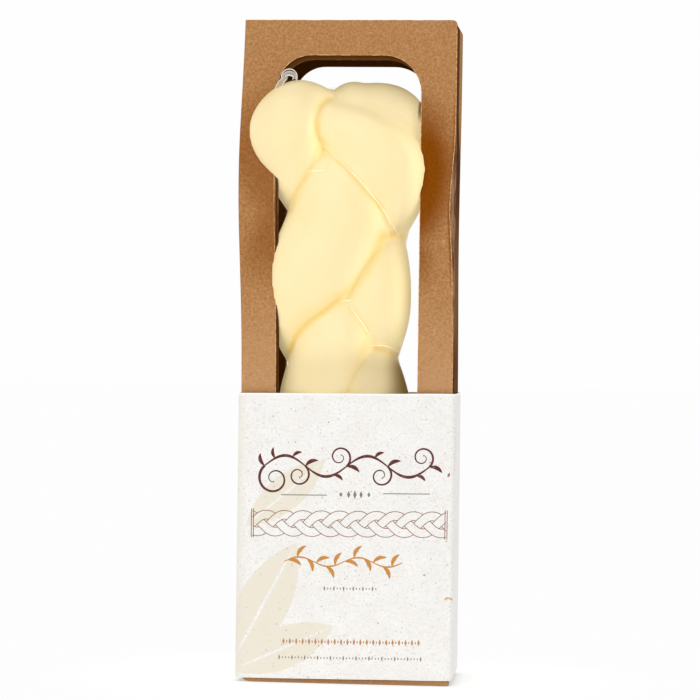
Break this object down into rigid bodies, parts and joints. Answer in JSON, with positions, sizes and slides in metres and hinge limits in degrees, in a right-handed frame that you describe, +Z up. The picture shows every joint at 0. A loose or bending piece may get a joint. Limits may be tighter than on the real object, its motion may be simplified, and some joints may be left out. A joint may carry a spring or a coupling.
{
  "type": "packaged braided string cheese",
  "caption": "Braided string cheese sealed in clear film, standing in a folded card carton with a window through front and back and a paper band round its lower part.",
  "frame": {"origin": "on the ground, in the middle of the whole object's box", "axes": "+X to the right as the front is seen, +Y to the back, +Z up along the braid"},
  "size_m": [0.0536, 0.0388, 0.1605],
  "materials": {
    "kraft_card": "matte, brown kraft card with fine light and dark fibres",
    "label_paper": "matte, off-white recycled paper with small specks",
    "label_ink": "matte, printed ornament",
    "cheese": "satin, pale cream cheese",
    "film": "gloss, thin clear vacuum film"
  },
  "bodies": {
    "root": {"carton": "kraft_card", "label": "label_paper", "cheese": "cheese"}
  },
  "joints": []
}
